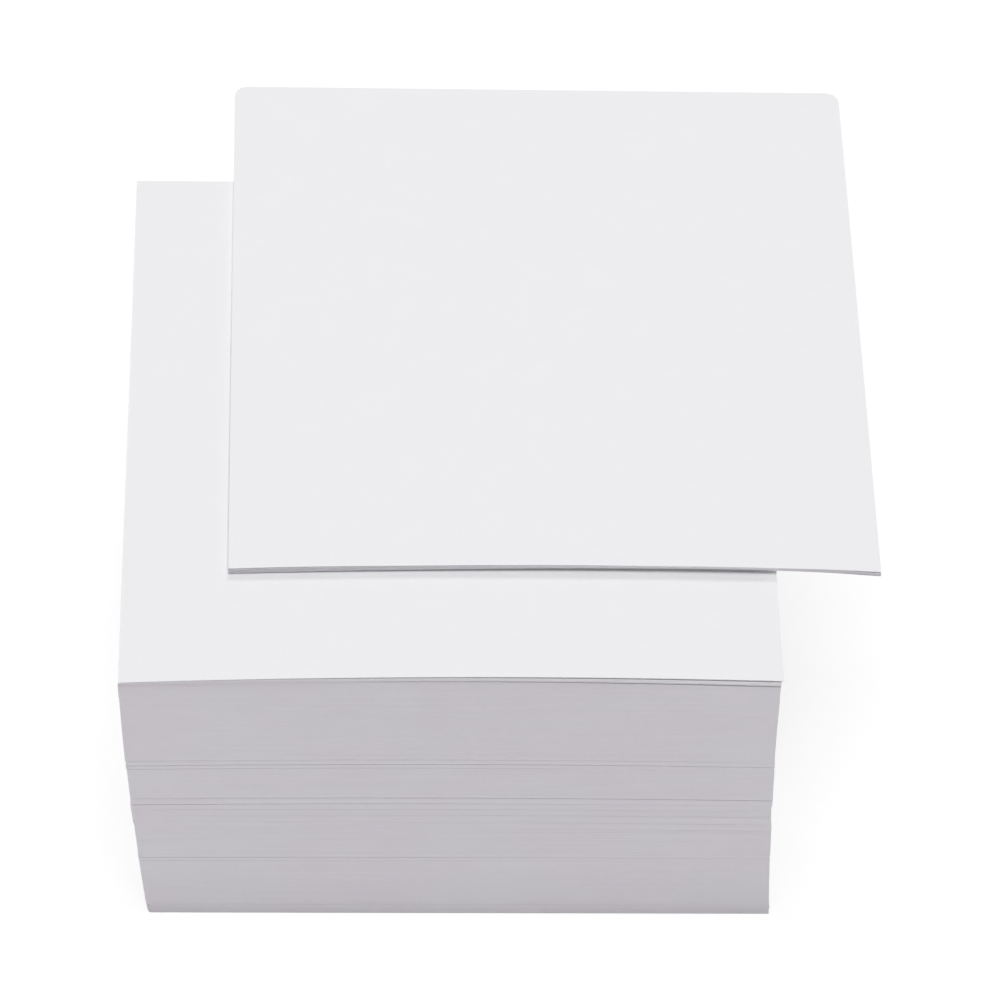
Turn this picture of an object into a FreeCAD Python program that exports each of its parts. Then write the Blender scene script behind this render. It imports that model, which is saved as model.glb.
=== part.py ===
import FreeCAD, Part
import Sketcher
import math
import os

# A stack of loose square memo sheets, in millimetres: X to the right, Y to the back, Z up.
# The origin is the centre of the lowest sheet's underside.
#
# From the table up:
#   lift_01 .. lift_13   the sheets of the main stack, in the lifts that they were piled in
#   loose_sheet_1 .. 6   the topmost sheets, which curl clear of the stack at their front right:
#                        five that cling together and, a little clear of them, one more
#   packet_sheet_1 .. 6  the sheets laid on top, pushed to the right and to the back
#
# Every sheet lies flat at the back. Forward of the fold line its middle arches up, more and more
# towards the front edge and towards the top of the stack, and its two front corners sink. Each
# piece is an arched layer trimmed to the outline of its sheets, and a lift's underside is the
# upper surface of the one below.

# Driving sizes: alias, value, what it is. Lengths are in millimetres and turns in degrees.
SIZES = [
    ("sheet_width", 89.0, "sheet size along X"),
    ("sheet_depth", 89.0, "sheet size along Y"),
    ("sheet_thickness", 0.1, "thickness of one sheet"),
    ("trim_margin", 1.0, "how far a layer runs past its sheets before it is trimmed"),
    ("lean_shift", 2.39, "how far the top of the stack leans to the left of its foot"),
    ("lean_power", 1.6, "1 for a straight lean, more for one that straightens upwards"),
    ("fold_line", 4.5, "from a sheet's back edge to where it stops lying flat and starts to arch"),
    ("curl_left", -0.78, "front left corner of the stack's top, above its flat part"),
    ("curl_crown", 0.46, "middle of the front edge of the stack's top, above its flat part"),
    ("curl_right", -0.45, "front right corner of the stack's top, above its flat part"),
    ("curl_left_power", 1.5, "how fast the left corner's curl grows from the foot to the top"),
    ("curl_crown_power", 0.5, "the same for the middle"),
    ("curl_right_power", 6.0, "the same for the right corner, which sinks only near the top"),
    ("nick_radius", 0.6, "rounding of the knocked front left corner of the lowest lifts"),
    ("packet_x", 14.07, "packet's centre to the right of the stack's top"),
    ("packet_y", 17.95, "packet's centre behind the stack's top"),
    ("packet_turn", 0.25, "turn of the whole packet"),
    ("packet_left", 0.14, "gap under the packet's front left corner"),
    ("packet_crown", 0.57, "gap under the middle of its front edge"),
    ("packet_corner", -0.2, "its front right corner, which overhangs, above its flat part"),
    ("fan_left", 0.126, "gap that each packet sheet opens over the one below at the left"),
    ("fan_crown", 0.025, "the same in the middle"),
    ("fan_right", 0.03, "the same at the right"),
    ("packet_split", 0.3, "extra gap at the right between the packet's two halves"),
    ("corner_radius", 1.8, "rounding of the packet's two back corners"),
]

# One row for each lift, from the bottom: sheets in it, how far it is pushed to the right and to
# the back, and its turn.
LIFTS = [
    (14, 0.00, -0.02, 0.00),
    (8, 0.08, 0.06, 0.02),
    (119, 0.00, 0.00, -0.01),
    (10, -0.05, 0.08, -0.06),
    (61, 0.03, 0.02, -0.03),
    (16, 0.06, -0.08, -0.16),
    (33, -0.04, 0.03, -0.04),
    (14, -0.06, -0.04, -0.02),
    (15, 0.02, 0.08, -0.06),
    (72, 0.05, -0.03, -0.11),
    (9, -0.04, 0.05, -0.10),
    (11, 0.03, -0.06, -0.16),
    (181, -0.05, 0.00, -0.19),
]
FLAT_LIFTS = 2      # the lowest lifts, which the weight above keeps flat
NICKED_LIFTS = 2    # the lowest lifts, whose front left corner is knocked round

# One row for each sheet that lies loose on the top lift, from the bottom: push to the right,
# push to the back, turn, and the gap under its front edge at the left, the middle and the right.
LOOSE_SHEETS = [
    (-0.18, -0.09, -0.10, 0.02, 0.33, 0.56),
    (-0.15, -0.07, -0.08, 0.00, 0.00, 0.00),
    (-0.20, -0.10, -0.11, 0.00, 0.00, 0.00),
    (-0.17, -0.08, -0.09, 0.00, 0.00, 0.00),
    (-0.19, -0.10, -0.12, 0.00, 0.00, 0.00),
    (0.09, -0.03, -0.04, 0.03, 0.26, 0.35),
]

# One row for each packet sheet, from the bottom: push to the right, push to the back, turn.
PACKET_SHEETS = [
    (0.14, 0.06, 0.05),
    (0.04, -0.03, -0.03),
    (0.12, 0.08, 0.02),
    (0.03, 0.02, 0.00),
    (0.10, -0.06, -0.05),
    (0.00, 0.00, 0.00),
]

# The places across a front edge whose height is driven.
SPOTS = ("left", "crown", "right")

# Half the width and half the depth of a layer before it is trimmed.
HALF_WIDTH = "(Sizes.sheet_width / 2 + Sizes.trim_margin)"
HALF_DEPTH = "(Sizes.sheet_depth / 2 + Sizes.trim_margin)"

# Where the fold line lies, as Y in a sheet's own frame.
FOLD_AT = "(Sizes.sheet_depth / 2 - Sizes.fold_line)"

# Corners of a sheet's outline, by their signs in X and Y.
FRONT_LEFT, FRONT_RIGHT, BACK_RIGHT, BACK_LEFT = CORNERS = [(-1, -1), (1, -1), (1, 1), (-1, 1)]

doc = FreeCAD.newDocument("memo_paper_stack")
sizes = doc.addObject("Spreadsheet::Sheet", "Sizes")
levels = doc.addObject("App::VarSet", "Levels")


def place_rows(prefix, place):
    """Rows for a piece's push to the right, its push to the back and its turn."""
    meanings = {"across": "push to the right", "back": "push to the back", "turn": "turn"}
    return [(f"{prefix}_{alias}", size, meanings[alias]) for alias, size in zip(meanings, place)]


def fill_sheet():
    """Write every driving size to its own cell, with its alias and its meaning beside it."""
    rows = list(SIZES)
    for number, (sheets, *place) in enumerate(LIFTS, 1):
        rows.append((f"lift_{number:02}_sheets", sheets, "sheets in the lift"))
        rows += place_rows(f"lift_{number:02}", place)
    for number, row in enumerate(LOOSE_SHEETS, 1):
        rows += place_rows(f"loose_{number}", row[:3])
        for spot, gap in zip(SPOTS, row[3:]):
            rows.append((f"loose_{number}_{spot}", gap, "gap under its front edge"))
    for number, place in enumerate(PACKET_SHEETS, 1):
        rows += place_rows(f"packet_{number}", place)
    for row, (alias, size, meaning) in enumerate(rows, 1):
        sizes.set(f"A{row}", alias)
        sizes.set(f"B{row}", str(size))
        sizes.set(f"C{row}", meaning)
        sizes.setAlias(f"B{row}", alias)
    doc.recompute()


def fill_levels():
    """Work out, at each seat between two lifts, its height, its lean and its three curls."""
    top = len(LIFTS)
    for seat in range(top + 1):
        for quantity in ("height", "lean"):
            levels.addProperty("App::PropertyFloat", f"{quantity}_{seat:02}", "Seats")
    for seat in range(1, top + 1):
        thickness = f"Sizes.lift_{seat:02}_sheets * Sizes.sheet_thickness"
        levels.setExpression(f"height_{seat:02}", f"height_{seat - 1:02} + {thickness}")
        rest = f"(1 - height_{seat:02} / height_{top:02})"
        levels.setExpression(f"lean_{seat:02}", f"-Sizes.lean_shift * (1 - {rest} ^ Sizes.lean_power)")
    for seat in range(FLAT_LIFTS + 1, top + 1):
        flat = f"height_{FLAT_LIFTS:02}"
        share = f"(height_{seat:02} - {flat}) / (height_{top:02} - {flat})"
        for spot in SPOTS:
            levels.addProperty("App::PropertyFloat", f"{spot}_{seat:02}", "Seats")
            curl = f"Sizes.curl_{spot} * ({share}) ^ Sizes.curl_{spot}_power"
            levels.setExpression(f"{spot}_{seat:02}", curl)
    fill_loose_levels()
    doc.recompute()


def fill_loose_levels():
    """Work out how high the loose sheets' front edges stand, and what lies under the packet's.

    Both are heights above a sheet's own flat part. Under the packet's front edge the top loose
    sheet has sunk part of the way to the fold line, and is taken at the packet's place across it.
    """
    loose = len(LOOSE_SHEETS)
    for spot in SPOTS:
        for sheet in range(loose + 1):
            levels.addProperty("App::PropertyFloat", f"loose_{sheet}_{spot}", "Loose sheets")
        levels.setExpression(f"loose_0_{spot}", f"Sizes.curl_{spot}")
        for sheet in range(1, loose + 1):
            gap = f"Sizes.loose_{sheet}_{spot}"
            levels.setExpression(f"loose_{sheet}_{spot}", f"loose_{sheet - 1}_{spot} + {gap}")
    left, crown, right = [f"loose_{loose}_{spot}" for spot in SPOTS]
    slope = f"({right} - {left}) / 2"
    bend = f"(({left} + {right}) / 2 - {crown})"
    fade = f"({FOLD_AT} - Sizes.packet_y + {HALF_DEPTH}) / ({FOLD_AT} + {HALF_DEPTH})"
    middle = f"Sizes.packet_x / {HALF_WIDTH}"
    for spot, across in (("left", f"({middle} - 1)"), ("crown", f"({middle})")):
        levels.addProperty("App::PropertyFloat", f"under_packet_{spot}", "Loose sheets")
        arch = f"({crown} + {slope} * {across} + {bend} * {across} ^ 2)"
        levels.setExpression(f"under_packet_{spot}", f"{fade} * {arch}")


def value(expression):
    """The number that an expression over the sheet and the levels gives now."""
    return float(sizes.evalExpression(expression))


def origin_plane(body, role):
    return next(item for item in body.Origin.OriginFeatures if item.Role == role)


def new_sketch(body, name, role, offsets):
    """A sketch on one of the body's own origin planes, moved by the expressions in offsets."""
    sketch = body.newObject("Sketcher::SketchObject", name)
    sketch.AttachmentSupport = (origin_plane(body, role), [""])
    sketch.MapMode = "FlatFace"
    for path, expression in offsets.items():
        sketch.setExpression(f"AttachmentOffset.{path}", expression)
    return sketch


def hold(sketch, kind, curve, end, distance, expression):
    """Hold one coordinate of a sketch point at an expression."""
    index = sketch.addConstraint(Sketcher.Constraint(kind, -1, 1, curve, end, distance))
    sketch.setExpression(f"Constraints[{index}]", expression)


def pin(sketch, curve, end, place):
    """Hold one point of a sketch curve at the place that two expressions give."""
    now = sketch.getPoint(curve, end)
    hold(sketch, "DistanceX", curve, end, now.x, place[0])
    hold(sketch, "DistanceY", curve, end, now.y, place[1])


def join(sketch, curve, end, other, other_end):
    sketch.addConstraint(Sketcher.Constraint("Coincident", curve, end, other, other_end))


def ends_left_to_right(sketch, curve):
    """The numbers of a curve's end points, the left one first."""
    return sorted((1, 2), key=lambda end: sketch.getPoint(curve, end).x)


def draw_surface(sketch, places):
    """Draw a paper surface seen from the front: a line, or an arc through a crown point."""
    points = [FreeCAD.Vector(value(across), value(up), 0) for across, up in places]
    if len(points) == 2:
        curve = sketch.addGeometry(Part.LineSegment(*points))
    else:
        curve = sketch.addGeometry(Part.Arc(*points))
        crown = sketch.addGeometry(Part.Point(points[1]), True)
        pin(sketch, crown, 1, places[1])
        sketch.addConstraint(Sketcher.Constraint("PointOnObject", crown, 1, curve))
    left, right = ends_left_to_right(sketch, curve)
    pin(sketch, curve, left, places[0])
    pin(sketch, curve, right, places[-1])
    return curve


def draw_section(body, name, depth, lower, upper):
    """A closed section across the layer, standing at Y = depth."""
    sketch = new_sketch(body, name, "XZ_Plane", {"Base.z": f"-({depth})"})
    bottom = draw_surface(sketch, lower)
    top = draw_surface(sketch, upper)
    for bottom_end, top_end in zip(ends_left_to_right(sketch, bottom), ends_left_to_right(sketch, top)):
        start = sketch.getPoint(bottom, bottom_end)
        finish = sketch.getPoint(top, top_end)
        side = sketch.addGeometry(Part.LineSegment(start, finish))
        join(sketch, side, 1, bottom, bottom_end)
        join(sketch, side, 2, top, top_end)
    return sketch


def surface(centre, base, curls):
    """The front edge of a paper surface, and its straight edge from the fold line back."""
    left = f"{centre} - {HALF_WIDTH}"
    right = f"{centre} + {HALF_WIDTH}"
    flat = [(left, base), (right, base)]
    if curls is None:
        return flat, flat
    front = [(across, f"{base} + {curl}") for across, curl in zip((left, centre, right), curls)]
    return front, flat


def loft(body, name, sections):
    feature = body.newObject("PartDesign::AdditiveLoft", name)
    feature.Profile = sections[0]
    feature.Sections = sections[1:]
    feature.Ruled = True
    return feature


def arched_layer(name, lower, upper, fold_line):
    """The layer between two paper surfaces: arched at the front, flat from the fold line back."""
    body = doc.addObject("PartDesign::Body", name)
    front = draw_section(body, name + "_front", f"-{HALF_DEPTH}", lower[0], upper[0])
    fold = draw_section(body, name + "_fold", fold_line, lower[1], upper[1])
    back = draw_section(body, name + "_back", HALF_DEPTH, lower[1], upper[1])
    loft(body, name + "_loft", [front, fold, back])
    return body


def round_corner(sketch, side, next_side, at, inwards, radius):
    """Join two sides of an outline, which meet at a corner, with an arc tangent to both."""
    size = value(radius)
    centre = at + inwards * size
    first = math.atan2(-inwards.y, -inwards.x) - math.pi / 4
    circle = Part.Circle(centre, FreeCAD.Vector(0, 0, 1), size)
    arc = sketch.addGeometry(Part.ArcOfCircle(circle, first, first + math.pi / 2))
    sketch.addConstraint(Sketcher.Constraint("Tangent", side, 2, arc, 1))
    sketch.addConstraint(Sketcher.Constraint("Tangent", arc, 2, next_side, 1))
    index = sketch.addConstraint(Sketcher.Constraint("Radius", arc, size))
    sketch.setExpression(f"Constraints[{index}]", radius)


def draw_sheet(body, name, place, turn, rounded):
    """A sheet's outline, seen from above, centred on the place that three expressions give.

    rounded holds the radius of each corner that isn't square, by the corner's signs in X and Y.
    """
    offsets = {"Base.x": place[0], "Base.y": place[1], "Base.z": place[2]}
    offsets["Rotation.Angle"] = f"({turn}) * 1 deg"
    sketch = new_sketch(body, name, "XY_Plane", offsets)
    half = FreeCAD.Vector(value("Sizes.sheet_width / 2"), value("Sizes.sheet_depth / 2"), 0)
    corners = [FreeCAD.Vector(half.x * x, half.y * y, 0) for x, y in CORNERS]
    cuts = [value(rounded[corner]) if corner in rounded else 0 for corner in CORNERS]
    sides = []
    for number in range(4):
        start, finish = corners[number], corners[(number + 1) % 4]
        along = (finish - start).normalize()
        line = Part.LineSegment(start + along * cuts[number], finish - along * cuts[(number + 1) % 4])
        sides.append(sketch.addGeometry(line))
    for side, direction in zip(sides, ("Horizontal", "Vertical", "Horizontal", "Vertical")):
        sketch.addConstraint(Sketcher.Constraint(direction, side))
    for number, corner in enumerate(CORNERS):
        side, next_side = sides[number - 1], sides[number]
        if corner in rounded:
            inwards = FreeCAD.Vector(-corner[0], -corner[1], 0)
            round_corner(sketch, side, next_side, corners[number], inwards, rounded[corner])
        else:
            join(sketch, side, 2, next_side, 1)
    hold(sketch, "DistanceY", sides[0], 1, -half.y, "-Sizes.sheet_depth / 2")
    hold(sketch, "DistanceX", sides[1], 1, half.x, "Sizes.sheet_width / 2")
    hold(sketch, "DistanceY", sides[2], 1, half.y, "Sizes.sheet_depth / 2")
    hold(sketch, "DistanceX", sides[3], 1, -half.x, "-Sizes.sheet_width / 2")
    return sketch


def outline_column(name, lower, upper, turn, rounded):
    """The upright or leaning column of paper between two equal outlines."""
    body = doc.addObject("PartDesign::Body", name)
    lower_outline = draw_sheet(body, name + "_lower", lower, turn, rounded)
    upper_outline = draw_sheet(body, name + "_upper", upper, turn, rounded)
    loft(body, name + "_loft", [lower_outline, upper_outline])
    return body


def trim(label, layer, column):
    """A finished piece: what an arched layer and an outline column have in common."""
    piece = doc.addObject("Part::Common", label)
    piece.Base = layer
    piece.Tool = column
    return piece


def place_piece(piece, label, across, back, up):
    piece.Label = label
    for axis, expression in zip("xyz", (across, back, up)):
        piece.setExpression(f"Placement.Base.{axis}", expression)
    return piece


def seat_curls(seat):
    """Height of a seat's front edge above its flat part, at the left, the middle and the right."""
    if seat <= FLAT_LIFTS:
        return None
    return [f"Levels.{spot}_{seat:02}" for spot in SPOTS]


def make_lift(number):
    """One lift of the main stack, which leans a little between its lower and its upper seat."""
    label = f"lift_{number:02}"
    below = number - 1
    thickness = f"Sizes.{label}_sheets * Sizes.sheet_thickness"
    lean_below = f"Levels.lean_{below:02}"
    lean_above = f"Levels.lean_{number:02}"
    back = f"Sizes.{label}_back"
    turn = f"Sizes.{label}_turn"
    arched = number > FLAT_LIFTS
    spare = "Sizes.trim_margin" if arched else "0"
    headroom = f"Levels.crown_{number:02} + {spare}" if arched else "0"
    column = outline_column(
        f"column_{number:02}",
        (f"{lean_below} + Sizes.{label}_across", back, f"-({spare})"),
        (f"{lean_above} + Sizes.{label}_across", back, f"{thickness} + {headroom}"),
        turn,
        {FRONT_LEFT: "Sizes.nick_radius"} if number <= NICKED_LIFTS else {},
    )
    piece = column
    if arched:
        lower = surface(lean_below, "0", seat_curls(below))
        upper = surface(lean_above, thickness, seat_curls(number))
        layer = arched_layer(f"layer_{number:02}", lower, upper, FOLD_AT)
        piece = trim(label, layer, column)
    return place_piece(piece, label, "0", "0", f"Levels.height_{below:02}")


def make_sheet(label, prefix, turn, rounded, curls, fold_line, place):
    """One loose sheet: a layer one sheet thick, trimmed to its own outline."""
    across, back = f"Sizes.{prefix}_across", f"Sizes.{prefix}_back"
    column = outline_column(
        f"column_{label}",
        (across, back, "-Sizes.trim_margin"),
        (across, back, f"Sizes.sheet_thickness + {curls[1]} + Sizes.trim_margin"),
        turn,
        rounded,
    )
    lower = surface("0", "0", curls)
    upper = surface("0", "Sizes.sheet_thickness", curls)
    layer = arched_layer(f"layer_{label}", lower, upper, fold_line)
    return place_piece(trim(label, layer, column), label, *place)


def make_loose_sheet(number):
    """One of the loose sheets that lie square on the stack."""
    top = f"{len(LIFTS):02}"
    prefix = f"loose_{number}"
    curls = [f"Levels.{prefix}_{spot}" for spot in SPOTS]
    height = f"Levels.height_{top} + {number - 1} * Sizes.sheet_thickness"
    place = (f"Levels.lean_{top}", "0", height)
    turn = f"Sizes.{prefix}_turn"
    return make_sheet(f"loose_sheet_{number}", prefix, turn, {}, curls, FOLD_AT, place)


def make_packet_sheet(number):
    """One sheet of the packet: the fan opens sheet by sheet, and once more between its halves.

    The gap between the halves opens as a parabola from nothing at the left, so that a quarter of
    it stands at the middle.
    """
    top = f"{len(LIFTS):02}"
    prefix = f"packet_{number}"
    below = number - 1
    split = "Sizes.packet_split" if number > len(PACKET_SHEETS) // 2 else "0"
    curls = [
        f"Levels.under_packet_left + Sizes.packet_left + {below} * Sizes.fan_left",
        f"Levels.under_packet_crown + Sizes.packet_crown + {below} * Sizes.fan_crown + {split} / 4",
        f"Sizes.packet_corner + {below} * Sizes.fan_right + {split}",
    ]
    height = f"Levels.height_{top} + {len(LOOSE_SHEETS) + below} * Sizes.sheet_thickness"
    place = (f"Levels.lean_{top} + Sizes.packet_x", "Sizes.packet_y", height)
    turn = f"Sizes.packet_turn + Sizes.{prefix}_turn"
    rounded = {BACK_LEFT: "Sizes.corner_radius", BACK_RIGHT: "Sizes.corner_radius"}
    fold_line = f"{FOLD_AT} - Sizes.packet_y"
    return make_sheet(f"packet_sheet_{number}", prefix, turn, rounded, curls, fold_line, place)


def check(pieces):
    """Stop if any object failed, or any piece is not one valid solid."""
    failed = [item.Name for item in doc.Objects if {"Invalid", "Error"} & set(item.State)]
    if failed:
        raise RuntimeError(f"objects that did not recompute: {failed}")
    for piece in pieces:
        shape = piece.Shape
        if shape.isNull() or not shape.isValid() or len(shape.Solids) != 1:
            raise RuntimeError(f"{piece.Label} is not one valid solid")


def main():
    fill_sheet()
    fill_levels()
    pieces = [make_lift(number) for number in range(1, len(LIFTS) + 1)]
    pieces += [make_loose_sheet(number) for number in range(1, len(LOOSE_SHEETS) + 1)]
    pieces += [make_packet_sheet(number) for number in range(1, len(PACKET_SHEETS) + 1)]
    doc.recompute()
    check(pieces)
    os.makedirs("parts", exist_ok=True)
    for piece in pieces:
        piece.Shape.exportStep(f"parts/{piece.Label}.step")
        print(f"{piece.Label}: {piece.Shape.Volume:.1f} mm3, {len(piece.Shape.Faces)} faces")


main()
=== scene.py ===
"""Looks of the stack of memo paper.

Every sheet is a thin leaf of its own: the block's sheets lie lift by lift as they were stacked,
six sheets lie loose on top, and a fanned packet of six more lies across them.

X runs to the right, Y to the back and Z up. Lengths are written in millimetres and turned into
metres where a mesh, a lamp or the camera is made. Turns are in degrees, apart from a texture's,
which are in radians. The scale of a noise is in repeats to the metre.
"""

import math
import random

import bpy
from mathutils import Matrix, Vector


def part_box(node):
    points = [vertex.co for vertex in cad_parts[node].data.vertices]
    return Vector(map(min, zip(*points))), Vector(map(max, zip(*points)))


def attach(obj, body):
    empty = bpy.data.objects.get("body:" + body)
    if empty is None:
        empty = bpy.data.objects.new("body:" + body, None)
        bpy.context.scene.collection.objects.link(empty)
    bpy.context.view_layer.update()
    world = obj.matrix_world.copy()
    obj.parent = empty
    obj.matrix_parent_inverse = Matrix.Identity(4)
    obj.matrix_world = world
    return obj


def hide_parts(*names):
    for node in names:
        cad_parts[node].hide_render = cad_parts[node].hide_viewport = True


MM = 0.001
NEAR = 0.01             # points closer than this are taken as one place

SHEET = 89.0            # side of a square sheet
CALIPER = 0.1           # what one sheet takes up in the pile
LEAF = 0.094            # a bare leaf, without the air between it and its neighbour

# One row for each lift, from the bottom: push to the right, and its hands of sheets, each with
# the slit left over it at the left and at the right.
LIFTS = [
    (0.00, [(14, 0.03, 0.01)]),
    (0.08, [(8, 0.07, 0.03)]),
    (0.00, [(111, 0.06, 0.03), (8, 0.11, 0.07)]),
    (-0.05, [(10, 0.02, 0.01)]),
    (0.03, [(36, 0.06, 0.00), (18, 0.01, 0.05), (7, 0.01, 0.10)]),
    (0.06, [(16, 0.02, 0.07)]),
    (-0.04, [(18, 0.02, 0.09), (4, 0.04, 0.01), (4, 0.01, 0.08), (7, 0.09, 0.07)]),
    (-0.06, [(14, 0.17, 0.01)]),
    (0.02, [(15, 0.12, 0.20)]),
    (0.05, [(72, 0.10, 0.03)]),
    (-0.04, [(9, 0.15, 0.13)]),
    (0.03, [(11, 0.10, 0.09)]),
    (-0.05, [(181, 0.00, 0.00)]),
]
NICKED_LIFTS = 2        # the lowest lifts, whose front left corner is knocked round
NICK_RADIUS = 0.6
BLOCK_TOP = CALIPER * sum(count for _, hands in LIFTS for count, *_ in hands)

LEAN = 2.39             # how far the block's top leans to the left of its foot
LEAN_POWER = 1.6        # 1 for a straight lean, more for one that straightens upwards
BLOCK_TURN = -0.19      # how far the block's top is turned against its foot
BLOCK_BACK = 0.06       # how far the block stands to the back of the origin
OVERHANG = 0.35         # how far the sheets stand out over a slit, as a share of the slit
SLIPPED = 30            # how many of the block's last sheets have slipped to the left together
SLIP = 0.06             # how far they have slipped

# How evenly the sheets were knocked together. A sheet has a jog of its own, in millimetres and,
# for its turn, in degrees, and a drift that it shares with its neighbours. From one sheet to the
# next the drift keeps most of itself and takes on a share of a jog. No sheet strays further than
# the limits, to a side and to the front or back.
JOG = 0.0035
DRIFT_SHARE = 0.4
DRIFT_KEPT = 0.9
STRAY_LIMITS = (0.02, 0.01)

# The curl of the block's sheets. They lie flat behind the fold line. In front of it they arch,
# and at the front edge of the block's top the arch has these heights at the left, in the middle
# and at the right. Each grows from the foot to the top by its own power.
FOLD = 40.0
ARCH = (-0.78, 0.46, -0.45)
ARCH_POWERS = (1.5, 0.5, 6.0)
ARCH_HALF = 45.5        # half the width over which an arch is drawn
ARCH_REACH = 85.5       # from the fold line to where an arch has its full height
FADE_POWER = 1.6        # more for an arch that rises sooner in front of the fold line
FLAT_UP_TO = 2.2        # below this the block's own weight keeps the sheets flat

# One row for each sheet that lies loose on the block, the lowest first: push to the right, push
# to the back, turn, and the gap under its front edge at the left, in the middle and at the right.
LOOSE = [
    (-0.14, -0.05, -0.15, 0.02, 0.23, 0.38),
    (-0.11, -0.04, -0.15, 0.005, 0.005, 0.01),
    (-0.15, -0.05, -0.14, 0.005, 0.01, 0.005),
    (-0.13, -0.02, -0.08, 0.0, 0.005, 0.01),
    (-0.14, -0.02, -0.07, 0.005, 0.005, 0.0),
    (0.07, 0.03, -0.02, 0.03, 0.25, 0.37),
]
GAP_END = -2.0          # the loose sheets lie close together behind this line
GAP_POWER = 1.2         # more for a gap that opens nearer to the front edge

# The packet's sheets, the lowest first: push to the right, push to the back, and how much of the
# air between its sheets lies below each one, left of the fan's range and right of it.
PACKET = [
    (0.12, 0.02, 0.00, 0.00),
    (0.04, 0.00, 0.18, 0.38),
    (0.11, 0.01, 0.34, 0.40),
    (0.03, -0.01, 0.50, 0.42),
    (0.10, -0.02, 0.68, 0.45),
    (0.00, 0.00, 1.00, 1.00),
]
PACKET_FAN = (26.0, 44.0)       # the fan's range: where the air goes over from left to right
PACKET_TURN = 0.25
PACKET_LEFT = -33.0             # the packet's left edge
PACKET_FLOOR = BLOCK_TOP + len(LOOSE) * CALIPER
PACKET_REACH = 67.5             # from the fold line to where the packet's curl is at its full
PACKET_RADIUS = 1.8             # rounding of its two back corners

# Heights of the packet's front edge above its flat part, at places across it: the underside of
# the lowest sheet, and the upper face of the highest one.
PACKET_UNDER = [(-33, 0.14), (-26, 0.51), (-18, 0.82), (-9, 1.06), (0, 1.28), (9, 1.45),
                (18, 1.46), (29, 1.39), (37, 1.21), (44, 0.89), (50, 0.46), (56, -0.25)]
PACKET_OVER = [(-33, 1.32), (-26, 1.64), (-18, 1.89), (-9, 2.03), (0, 2.17), (9, 2.24),
               (17, 2.20), (23, 2.07), (33, 1.91), (44, 1.52), (50, 1.24), (56, 0.78)]

# The packet's back edge above its flat part, at the left and at the right. Where it rises, and
# where it droops past the block's back, each starts at a line, runs so far and has its power.
BACK_ENDS = (0.46, -0.30)
BACK_RISE = (20.0, 42.5, 1.6)
BACK_DROOP = (SHEET / 2, 18.0, 1.5)

# Colours of the paper: its faces, and its cut edges with their greyer patches.
FACE_TONES = ((0.868, 0.866, 0.884, 1), (0.848, 0.847, 0.866, 1))
EDGE_TONES = ((0.89, 0.845, 0.905, 1), (0.85, 0.805, 0.865, 1))
EDGE_PATCH = (0.868, 0.86, 0.893, 1)

# The block's foot is painted darker: painted shade where the table shades the lowest sheets. Each
# shade has its height, its tone at the table and its blend.
FOOT_PAINTED_SHADES = [(12.0, 0.93, "LINEAR"), (3.2, 0.89, "SMOOTHSTEP")]

# Each lamp's name, place, side and power in watts. Both are aimed at the same place.
LAMPS = [
    ("main_softbox", (-50, -360, 2000), 850, 23.1),
    ("back_softbox", (50, 1100, 1500), 450, 7.2),
]
LAMP_AIM = (0, 0, 50)
ROOM_LIGHT = 0.25

# The floor is seen as a mix of a white glow and its own lit surface, which has the shadow.
FLOOR_SIDE = 4000
FLOOR_GLOW = 1.06
FLOOR_GLOW_SHARE = 0.78

# The camera: where it looks and from how far, its bearing, dip and roll, its lens and sensor.
CAMERA_AIM = (4.592, -13.695, 56.92)
CAMERA_DISTANCE = 666.81
CAMERA_TURNS = (3.545, 52.07, 3.114)
CAMERA_LENS = 174.07
CAMERA_SENSOR = 36.0

chance = random.Random(41)


# ---- shapes ------------------------------------------------------------------------------

def share_between(value, start, end):
    """0 at the start and before it, 1 at the end and past it."""
    return min(max((value - start) / (end - start), 0), 1)


def arch(x, middle, heights):
    """Height of an arched edge at x, through its left, middle and right heights."""
    left, crown, right = heights
    t = (x - middle) / ARCH_HALF
    return crown + (right - left) / 2 * t + ((left + right) / 2 - crown) * t * t


def along(points, x):
    """Height at x of the smooth line through these places."""
    if x <= points[0][0]:
        return points[0][1]
    if x >= points[-1][0]:
        return points[-1][1]
    last = len(points) - 2
    i = next(n for n in range(last + 1) if x <= points[n + 1][0])
    (x0, z0), (x1, z1) = points[i], points[i + 1]
    before, after = points[max(i - 1, 0)], points[min(i + 2, last + 1)]
    slope0 = (z1 - before[1]) / (x1 - before[0])
    slope1 = (after[1] - z0) / (after[0] - x0)
    width = x1 - x0
    t = (x - x0) / width
    return (z0 * (1 + 2 * t) * (1 - t) ** 2 + slope0 * width * t * (1 - t) ** 2
            + z1 * t * t * (3 - 2 * t) - slope1 * width * t * t * (1 - t))


def lean_at(height):
    """Where the middle of the sheet at this height lies, to the right of the block's foot."""
    return -LEAN * (1 - (1 - height / BLOCK_TOP) ** LEAN_POWER)


def curls_at(height):
    """A block sheet's front edge above its flat part, at the left, in the middle, at the right."""
    share = max(0.0, (height - FLAT_UP_TO) / (BLOCK_TOP - FLAT_UP_TO))
    return [curl * share ** power for curl, power in zip(ARCH, ARCH_POWERS)]


def fade(y, reach):
    """How much of its front edge's curl a sheet has at y: all at the front, none behind the fold."""
    return 1 - (1 - share_between(y, FOLD, FOLD - reach)) ** FADE_POWER


def deselect():
    if bpy.context.object and bpy.context.object.mode != "OBJECT":
        bpy.ops.object.mode_set(mode="OBJECT")
    bpy.ops.object.select_all(action="DESELECT")


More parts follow.
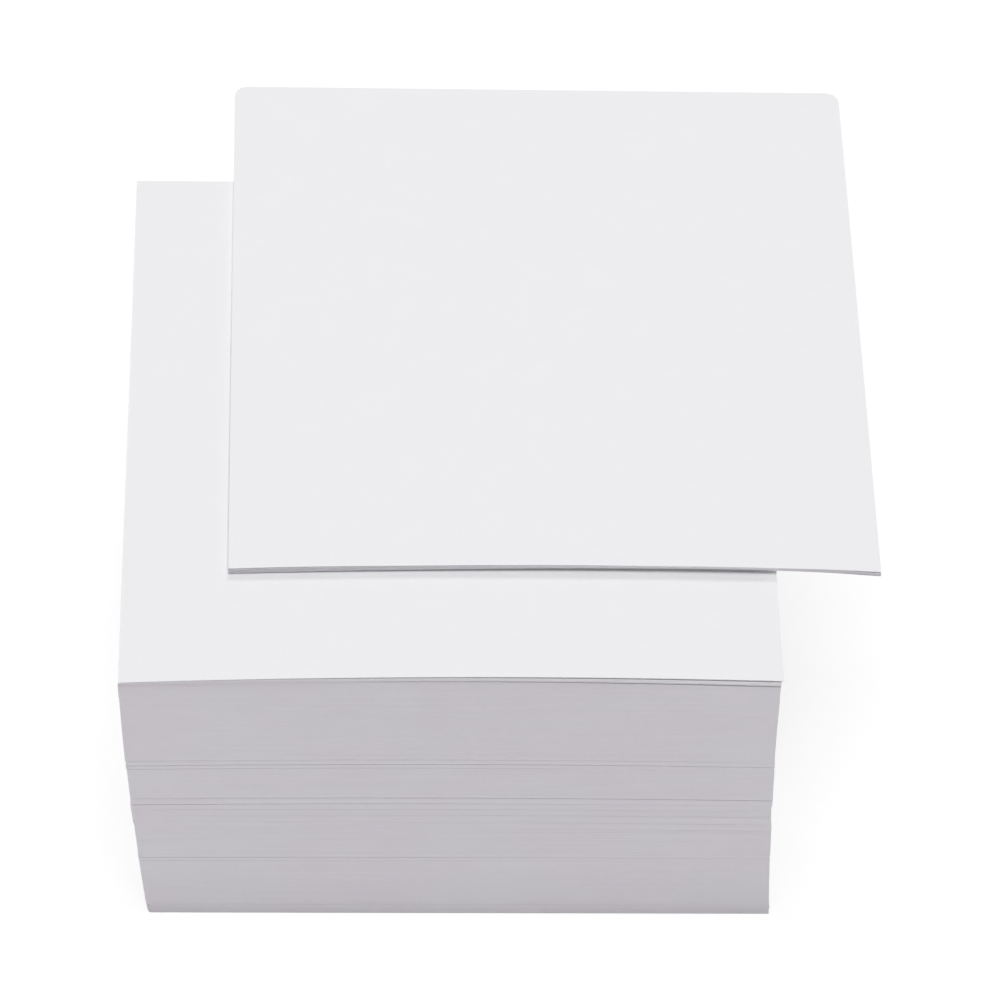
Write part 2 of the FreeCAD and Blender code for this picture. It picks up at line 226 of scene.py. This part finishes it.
def select_points(leaf, chosen):
    """Select the points of a mesh that chosen(place in mm) picks, and go into edit mode."""
    bpy.ops.object.mode_set(mode="EDIT")
    bpy.ops.mesh.select_mode(type="VERT")
    bpy.ops.mesh.select_all(action="DESELECT")
    bpy.ops.object.mode_set(mode="OBJECT")
    for point in leaf.data.vertices:
        point.select = chosen(point.co / MM)
    bpy.ops.object.mode_set(mode="EDIT")


def cut_leaf(name, finishes, columns, rows, corners=(), radius=0.0):
    """A flat leaf of paper around the origin, ruled into columns and rows so that it can curl.

    finishes are those of the broad faces and of the cut edges. corners holds the signs of the
    corners to round.
    """
    deselect()
    bpy.ops.mesh.primitive_grid_add(x_subdivisions=columns, y_subdivisions=rows, size=SHEET * MM)
    leaf = bpy.context.object
    leaf.name = leaf.data.name = name
    half = SHEET / 2
    if corners:
        select_points(leaf, lambda p: any((p.xy - Vector((half * x, half * y))).length < NEAR
                                          for x, y in corners))
        bpy.ops.mesh.bevel(offset=radius * MM, offset_type="OFFSET", segments=5, affect="VERTICES")
        bpy.ops.object.mode_set(mode="OBJECT")
    thicken = leaf.modifiers.new("thickness", "SOLIDIFY")
    thicken.thickness = LEAF * MM
    thicken.offset = 1
    bpy.ops.object.modifier_apply(modifier=thicken.name)
    for finish in finishes:
        leaf.data.materials.append(finish)
    for face in leaf.data.polygons:
        face.material_index = 0 if abs(face.normal.z) > 0.5 else 1
    return leaf


def lay(leaf, name, across, back, turn, height_at):
    """A copy of the leaf, with a mesh of its own, put in its place and curled to its height."""
    sheet = leaf.copy()
    sheet.data = leaf.data.copy()
    sheet.name = sheet.data.name = name
    bpy.context.scene.collection.objects.link(sheet)
    place = Matrix.Translation((across * MM, back * MM, 0))
    sheet.data.transform(place @ Matrix.Rotation(math.radians(turn), 4, "Z"))
    for point in sheet.data.vertices:
        point.co.z += height_at(point.co.x / MM, point.co.y / MM) * MM
    return sheet


def join(sheets, name):
    deselect()
    for sheet in sheets:
        sheet.select_set(True)
    bpy.context.view_layer.objects.active = sheets[0]
    if len(sheets) > 1:
        bpy.ops.object.join()
    pile = bpy.context.object
    pile.name = pile.data.name = name
    return pile


def finish_piece(piece, node):
    deselect()
    piece.select_set(True)
    bpy.context.view_layer.objects.active = piece
    bpy.ops.object.shade_smooth_by_angle(angle=math.radians(30))
    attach(piece, "root")
    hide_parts(node)


def jitter(amount):
    return amount * Vector((chance.gauss(0, 1), chance.gauss(0, 1)))


def held(value, limit):
    return max(-limit, min(limit, value))


def lay_block_sheet(leaf, name, height, across, sags, setbacks, jog):
    """One sheet of the block, in its place.

    sags says how far it lies below its height, and setbacks how far it is drawn back, each at
    the left and at the right.
    """
    lean, curls = lean_at(height), curls_at(height)
    left, right = setbacks

    def height_at(x, y):
        side = share_between(x, lean - SHEET / 2, lean + SHEET / 2)
        sag = sags[0] + (sags[1] - sags[0]) * side
        return height - sag + arch(x, lean, curls) * fade(y, ARCH_REACH)

    slip = SLIP if height > BLOCK_TOP - (SLIPPED + 0.5) * CALIPER else 0.0
    turn = (BLOCK_TURN * height / BLOCK_TOP + math.degrees((right - left) / SHEET)
            + chance.gauss(0, JOG))
    return lay(leaf, name, lean + across - slip + held(jog.x, STRAY_LIMITS[0]),
               BLOCK_BACK + (left + right) / 2 + held(jog.y, STRAY_LIMITS[1]), turn, height_at)


def stack_block(leaf_for):
    """The sheets of the block, lift by lift.

    A hand's sheets lie a little closer together than the caliper, which leaves the slit over
    them. The sheets over a slit stand out at the front, and up to the next slit they draw back.
    """
    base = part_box("lift_01")[0].z / MM
    widths = [slits for _, hands in LIFTS for _, *slits in hands]
    total = [sum(width[side] for width in widths) for side in range(2)]
    below = [0.0, 0.0]
    drift = Vector((0, 0))
    for number, (across, hands) in enumerate(LIFTS, 1):
        sheets = []
        for count, *slits in hands:
            for k in range(count):
                height = base + k * CALIPER
                setbacks = [OVERHANG * (every * height / BLOCK_TOP - passed)
                            for every, passed in zip(total, below)]
                drift = drift * DRIFT_KEPT + jitter(JOG * DRIFT_SHARE)
                sheets.append(lay_block_sheet(
                    leaf_for(number), f"sheet_{number:02}_{len(sheets):03}", height, across,
                    [slit * k / count for slit in slits], setbacks, drift + jitter(JOG)))
            below = [passed + slit for passed, slit in zip(below, slits)]
            base += count * CALIPER
        finish_piece(join(sheets, f"block_sheets_{number:02}"), f"lift_{number:02}")


def lay_loose(number, leaf):
    """One of the loose sheets that lie square on the block, clear of it at the front right."""
    across, back, turn, *_ = LOOSE[number - 1]
    lean = lean_at(BLOCK_TOP)
    base = BLOCK_TOP + (number - 1) * CALIPER
    gaps = [sum(row[3 + spot] for row in LOOSE[:number]) for spot in range(3)]

    def height_at(x, y):
        gap = arch(x, lean, gaps) * share_between(y, GAP_END, -SHEET / 2) ** GAP_POWER
        return base + arch(x, lean, ARCH) * fade(y, ARCH_REACH) + max(gap, 0)

    sheet = lay(leaf, f"loose_top_sheet_{number}", lean + across, back, turn, height_at)
    finish_piece(sheet, f"loose_sheet_{number}")


def packet_back(x, y):
    """How far the packet's back part stands off, or how far it droops past the block's back."""
    left, right = BACK_ENDS
    end = left + (right - left) * (x - PACKET_LEFT) / SHEET
    start, reach, power = BACK_RISE if end > 0 else BACK_DROOP
    return end * max(0.0, (y - start) / reach) ** power


def lay_packet_sheet(number, leaf, middle):
    """One sheet of the packet, which fans open towards its front corners."""
    across, back, air_left, air_right = PACKET[number - 1]
    base = PACKET_FLOOR + (number - 1) * CALIPER

    def height_at(x, y):
        under, over = along(PACKET_UNDER, x), along(PACKET_OVER, x)
        air = max(0.0, over - under - len(PACKET) * CALIPER)
        front = under + air * (air_left + (air_right - air_left) * share_between(x, *PACKET_FAN))
        return base + front * fade(y, PACKET_REACH) + packet_back(x, y)

    sheet = lay(leaf, f"packet_top_sheet_{number}", middle.x / MM + across, middle.y / MM + back,
                PACKET_TURN, height_at)
    finish_piece(sheet, f"packet_sheet_{number}")


# ---- finishes ----------------------------------------------------------------------------

def add_node(tree, kind, at, **settings):
    """A node at a place in its tree, with its own settings and the values of its sockets."""
    made = tree.nodes.new("ShaderNode" + kind)
    made.location = at
    values = settings.pop("values", {})
    for name, value in settings.items():
        setattr(made, name, value)
    for name, value in values.items():
        made.inputs[name].default_value = value
    return made


def feed(tree, socket, given):
    """Link the socket to a given one, or give it a value."""
    if isinstance(given, bpy.types.NodeSocket):
        tree.links.new(given, socket)
    else:
        socket.default_value = given


def noise(tree, at, vector, scale, detail, roughness=0.55):
    made = add_node(tree, "TexNoise", at,
                    values={"Scale": scale, "Detail": detail, "Roughness": roughness})
    tree.links.new(vector, made.inputs["Vector"])
    return made.outputs["Fac"]


def streaks(tree, at, place, scale, detail=2, turn=(0.0, 0.0, 0.0)):
    """A noise with a scale of its own along each axis, so that it is drawn out into streaks."""
    drawn = add_node(tree, "Mapping", (at[0] - 300, at[1]),
                     values={"Scale": scale, "Rotation": turn})
    tree.links.new(place, drawn.inputs["Vector"])
    return noise(tree, at, drawn.outputs["Vector"], 1, detail)


def blend_values(tree, at, first, second, share):
    """One number from two. In a Mix node sockets 2 and 3 take numbers, and 6 and 7 colours."""
    made = add_node(tree, "Mix", at, data_type="FLOAT")
    for place, given in ((0, share), (2, first), (3, second)):
        feed(tree, made.inputs[place], given)
    return made.outputs[0]


def blend_colours(tree, at, first, second, share):
    made = add_node(tree, "Mix", at, data_type="RGBA")
    for place, given in ((0, share), (6, first), (7, second)):
        feed(tree, made.inputs[place], given)
    return made.outputs[2]


def combine(tree, at, operation, first, second):
    made = add_node(tree, "Math", at, operation=operation)
    feed(tree, made.inputs[0], first)
    feed(tree, made.inputs[1], second)
    return made.outputs[0]


def spread(tree, at, value, low, high, to_low=0.0, to_high=1.0, blend="LINEAR"):
    """The value's range from low to high, spread over another range and held at its ends."""
    made = add_node(tree, "MapRange", at, interpolation_type=blend,
                    values={1: low, 2: high, 3: to_low, 4: to_high})
    tree.links.new(value, made.inputs[0])
    return made.outputs[0]


def make_paper_grain():
    """Grain of uncoated paper: its cloudy formation, its fibres, and the tooth they leave."""
    group = bpy.data.node_groups.new("paper_grain", "ShaderNodeTree")
    new = group.interface.new_socket
    for name, kind, default in (("Light Tone", "NodeSocketColor", (0.87, 0.87, 0.88, 1)),
                                ("Dark Tone", "NodeSocketColor", (0.84, 0.84, 0.86, 1)),
                                ("Fibre Share", "NodeSocketFloat", 0.35)):
        new(name=name, in_out="INPUT", socket_type=kind).default_value = default
    for name, kind in (("Color", "NodeSocketColor"), ("Roughness", "NodeSocketFloat"),
                       ("Height", "NodeSocketFloat")):
        new(name=name, in_out="OUTPUT", socket_type=kind)
    given = group.nodes.new("NodeGroupInput")
    given.location = (-900, 300)
    made = group.nodes.new("NodeGroupOutput")
    made.location = (900, 0)
    place = add_node(group, "TexCoord", (-1300, 0)).outputs["Object"]
    formation = blend_values(group, (-450, 100),
                             noise(group, (-700, 200), place, 170, 4, 0.6),
                             noise(group, (-700, 0), place, 900, 3, 0.6), 0.4)
    fibre = blend_values(group, (-450, -300),
                         streaks(group, (-700, -200), place, (9000, 1500, 6000), turn=(0, 0, 0.5)),
                         streaks(group, (-700, -450), place, (8000, 1300, 6000), turn=(0, 0, -0.9)),
                         0.5)
    grain = blend_values(group, (-200, 0), formation, fibre, given.outputs["Fibre Share"])
    colour = blend_colours(group, (350, 200), given.outputs["Dark Tone"],
                           given.outputs["Light Tone"], spread(group, (50, 0), grain, 0.36, 0.64))
    group.links.new(colour, made.inputs["Color"])
    group.links.new(spread(group, (350, -50), grain, 0.3, 0.7, 0.62, 0.78), made.inputs["Roughness"])
    group.links.new(grain, made.inputs["Height"])
    return group


def new_material(name):
    material = bpy.data.materials.new(name)
    material.use_nodes = True
    tree = material.node_tree
    shader = tree.nodes["Principled BSDF"]
    shader.location = (1100, 0)
    tree.nodes["Material Output"].location = (1450, 0)
    return material, tree, shader


def use_grain(tree, at, grain, tones, fibre_share):
    made = tree.nodes.new("ShaderNodeGroup")
    made.node_tree = grain
    made.location = at
    light, dark = tones
    for name, value in (("Light Tone", light), ("Dark Tone", dark), ("Fibre Share", fibre_share)):
        made.inputs[name].default_value = value
    return made


def add_tooth(tree, at, shader, height, strength, depth):
    bump = add_node(tree, "Bump", at, values={"Strength": strength, "Distance": depth * MM})
    tree.links.new(height, bump.inputs["Height"])
    tree.links.new(bump.outputs["Normal"], shader.inputs["Normal"])


def make_sheet_face(grain):
    """The broad faces of a sheet: smooth white offset paper."""
    material, tree, shader = new_material("sheet_face")
    paper = use_grain(tree, (300, 0), grain, FACE_TONES, fibre_share=0.3)
    shader.inputs["Specular IOR Level"].default_value = 0.25
    tree.links.new(paper.outputs["Color"], shader.inputs["Base Color"])
    tree.links.new(paper.outputs["Roughness"], shader.inputs["Roughness"])
    add_tooth(tree, (800, -300), shader, paper.outputs["Height"], strength=0.25, depth=0.012)
    return material


def make_cut_edge(grain):
    """The guillotined edges: greyer than the faces, each sheet a little different from the next."""
    material, tree, shader = new_material("cut_edge")
    paper = use_grain(tree, (-100, 300), grain, EDGE_TONES, fibre_share=0.6)
    place = add_node(tree, "TexCoord", (-1300, 0)).outputs["Object"]
    sheets = streaks(tree, (-700, -100), place, (22, 22, 8500))
    bands = streaks(tree, (-700, -350), place, (45, 45, 1700), detail=3)
    patches = streaks(tree, (-700, -600), place, (75, 75, 110))
    knife = streaks(tree, (-700, -850), place, (2600, 2600, 25))
    colour = blend_colours(tree, (250, 250), paper.outputs["Color"], EDGE_PATCH,
                           spread(tree, (0, -500), patches, 0.42, 0.6, 0.0, 0.55))
    tone = spread(tree, (-200, -200), blend_values(tree, (-450, -200), sheets, bands, 0.35),
                  0.3, 0.7, 0.965, 1.025)
    height = add_node(tree, "SeparateXYZ", (-450, -1050))
    tree.links.new(place, height.inputs[0])
    # Painted shade: the cut edges are painted darker towards the table, one painted shade after the
    # other.
    for step, (top, darkest, blend) in enumerate(FOOT_PAINTED_SHADES):
        shade = spread(tree, (0, -750 - 250 * step), height.outputs["Z"], 0.0, top * MM,
                       darkest, 1.0, blend)
        tone = combine(tree, (250, -100 - 250 * step), "MULTIPLY", tone, shade)
    toned = add_node(tree, "VectorMath", (550, 200), operation="SCALE")
    tree.links.new(colour, toned.inputs[0])
    tree.links.new(tone, toned.inputs["Scale"])
    shader.inputs["Specular IOR Level"].default_value = 0.15
    shader.inputs["Roughness"].default_value = 0.85
    tree.links.new(toned.outputs["Vector"], shader.inputs["Base Color"])
    relief = blend_values(tree, (550, -400), blend_values(tree, (250, -650), sheets, knife, 0.3),
                          paper.outputs["Height"], 0.4)
    add_tooth(tree, (800, -400), shader, relief, strength=0.35, depth=0.02)
    return material


# ---- stage, light and camera --------------------------------------------------------------

def seen_share(tree, at):
    """1 for rays that show the backdrop itself: from the camera, in gloss and through glass."""
    path = add_node(tree, "LightPath", at)
    total = path.outputs["Is Camera Ray"]
    for step, name in enumerate(("Is Glossy Ray", "Is Transmission Ray"), 1):
        total = combine(tree, (at[0] + 200 * step, at[1]), "MAXIMUM", total, path.outputs[name])
    return total


def mix_shaders(tree, at, share, first, second, end):
    """Show the second shader for its share of the rays and the first for the others."""
    mixed = add_node(tree, "MixShader", at)
    for socket, given in zip(mixed.inputs, (share, first.outputs[0], second.outputs[0])):
        tree.links.new(given, socket)
    tree.links.new(mixed.outputs[0], end.inputs["Surface"])


def build_floor():
    deselect()
    bpy.ops.mesh.primitive_plane_add(size=FLOOR_SIDE * MM, location=(0, 0, 0))
    floor = bpy.context.object
    floor.name = floor.data.name = "studio_floor"
    material, tree, surface = new_material("studio_floor")
    surface.location = (0, 0)
    tree.nodes["Material Output"].location = (650, 100)
    surface.inputs["Base Color"].default_value = (0.94, 0.94, 0.94, 1)
    surface.inputs["Roughness"].default_value = 0.9
    surface.inputs["Specular IOR Level"].default_value = 0.1
    glow = add_node(tree, "Emission", (0, -400),
                    values={"Color": (1, 1, 1, 1), "Strength": FLOOR_GLOW})
    share = combine(tree, (0, 300), "MULTIPLY", seen_share(tree, (-700, 300)), FLOOR_GLOW_SHARE)
    mix_shaders(tree, (350, 100), share, surface, glow, tree.nodes["Material Output"])
    floor.data.materials.append(material)


def build_world():
    world = bpy.data.worlds.new("studio")
    bpy.context.scene.world = world
    world.use_nodes = True
    tree = world.node_tree
    room = tree.nodes["Background"]
    backdrop = add_node(tree, "Background", (0, -200))
    for light, strength in ((room, ROOM_LIGHT), (backdrop, 1.0)):
        light.inputs["Color"].default_value = (1, 1, 1, 1)
        light.inputs["Strength"].default_value = strength
    mix_shaders(tree, (300, 0), seen_share(tree, (-700, 300)), room, backdrop,
                tree.nodes["World Output"])


def add_lamp(name, place, side, power):
    lamp = bpy.data.lights.new(name, "AREA")
    lamp.shape = "SQUARE"
    lamp.size = side * MM
    lamp.energy = power
    holder = bpy.data.objects.new(name, lamp)
    bpy.context.scene.collection.objects.link(holder)
    holder.location = Vector(place) * MM
    holder.rotation_euler = (Vector(LAMP_AIM) - Vector(place)).to_track_quat("-Z", "Y").to_euler()


def aim_camera():
    """Look down on the stack from in front and a little to its left."""
    bearing, dip, roll = (math.radians(turn) for turn in CAMERA_TURNS)
    ahead = Vector((math.sin(bearing) * math.cos(dip), math.cos(bearing) * math.cos(dip),
                    -math.sin(dip)))
    level = Vector((math.cos(bearing), -math.sin(bearing), 0))
    above = level.cross(ahead)
    right = level * math.cos(roll) + above * math.sin(roll)
    up = above * math.cos(roll) - level * math.sin(roll)
    lens = bpy.data.cameras.new("camera")
    lens.sensor_width = CAMERA_SENSOR
    lens.lens = CAMERA_LENS
    camera = bpy.data.objects.new("camera", lens)
    bpy.context.scene.collection.objects.link(camera)
    turned = Matrix((right, up, -ahead)).transposed().to_4x4()
    place = (Vector(CAMERA_AIM) - ahead * CAMERA_DISTANCE) * MM
    camera.matrix_world = Matrix.Translation(place) @ turned
    bpy.context.scene.camera = camera


def main():
    bpy.context.scene.view_settings.view_transform = "Standard"

    grain = make_paper_grain()
    finishes = [make_sheet_face(grain), make_cut_edge(grain)]
    square = cut_leaf("square_leaf", finishes, columns=6, rows=4)
    nicked = cut_leaf("nicked_leaf", finishes, columns=2, rows=2,
                      corners=[(-1, -1)], radius=NICK_RADIUS)
    supple = cut_leaf("supple_leaf", finishes, columns=32, rows=24)
    rounded = cut_leaf("rounded_leaf", finishes, columns=40, rows=32,
                       corners=[(-1, 1), (1, 1)], radius=PACKET_RADIUS)

    stack_block(lambda lift: nicked if lift <= NICKED_LIFTS else square)
    for number in range(1, len(LOOSE) + 1):
        lay_loose(number, supple)
    low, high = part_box(f"packet_sheet_{len(PACKET)}")
    for number in range(1, len(PACKET) + 1):
        lay_packet_sheet(number, rounded, (low + high) / 2)
    for leaf in (square, nicked, supple, rounded):
        bpy.data.objects.remove(leaf)

    build_floor()
    build_world()
    for lamp in LAMPS:
        add_lamp(*lamp)
    aim_camera()


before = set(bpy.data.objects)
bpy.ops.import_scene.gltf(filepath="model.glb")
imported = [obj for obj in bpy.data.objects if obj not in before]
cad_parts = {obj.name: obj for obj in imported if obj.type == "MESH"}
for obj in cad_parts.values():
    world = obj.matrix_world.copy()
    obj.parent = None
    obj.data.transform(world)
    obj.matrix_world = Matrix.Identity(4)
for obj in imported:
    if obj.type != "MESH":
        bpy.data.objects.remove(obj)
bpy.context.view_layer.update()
main()
